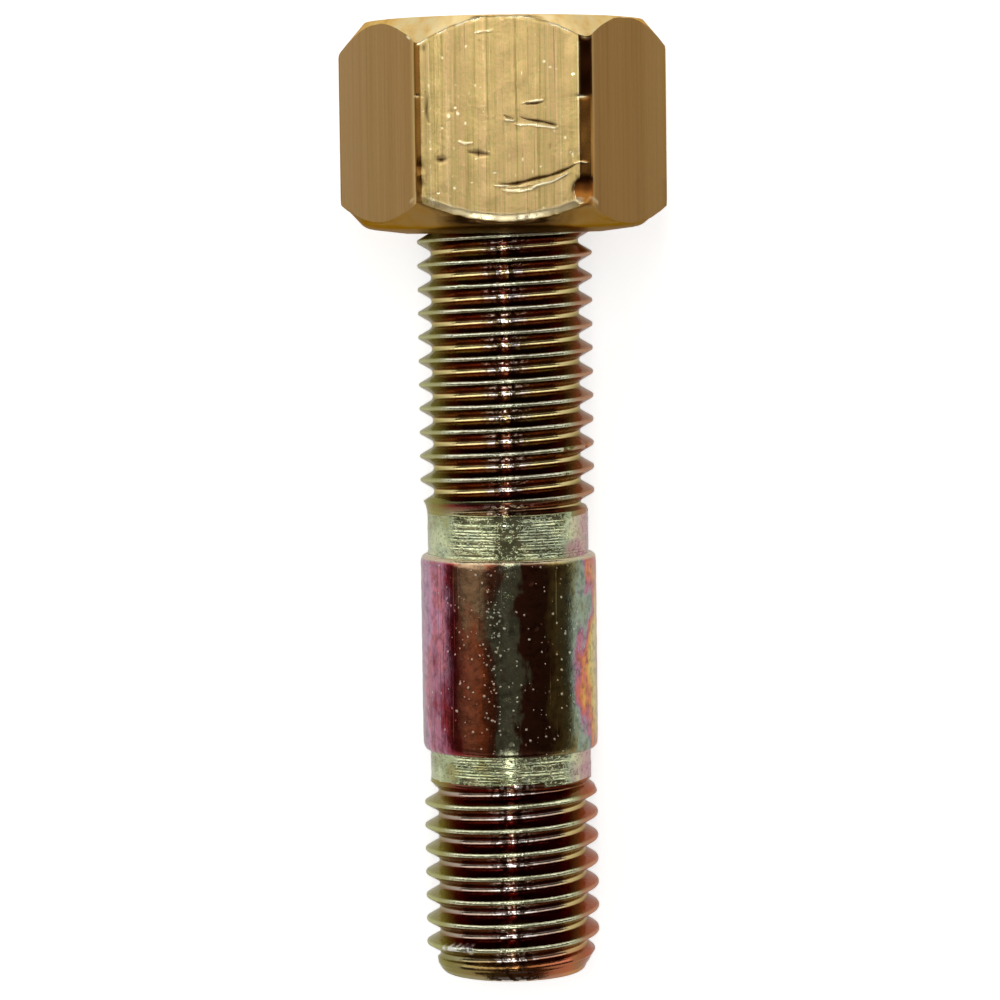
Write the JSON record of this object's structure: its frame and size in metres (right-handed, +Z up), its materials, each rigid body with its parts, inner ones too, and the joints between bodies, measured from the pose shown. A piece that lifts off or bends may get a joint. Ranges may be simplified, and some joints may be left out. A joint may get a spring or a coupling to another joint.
{
  "type": "cylinder head stud",
  "caption": "Plated steel stud with a threaded tip, plain locating collar, long upper thread and a domed-seat brass hexagon nut.",
  "frame": {"origin": "centre of the footprint, on the ground", "axes": "+Z up; +Y along the stud from the tip towards the nut; +X across"},
  "size_m": [0.0146, 0.043, 0.0133],
  "materials": {
    "plated_steel": "yellow zinc chromate over rolled and turned steel",
    "brass": "drawn hexagon bar, dulled and scratched"
  },
  "bodies": {
    "stud": {"stud": "plated_steel"},
    "nut": {"nut": "brass"}
  },
  "joints": [
    {"name": "nut_travel", "type": "slide", "parent": "stud", "child": "nut", "axis": [0, 0.9971, 0.0756], "range_m": [-0.01164, 0.00953]}
  ]
}
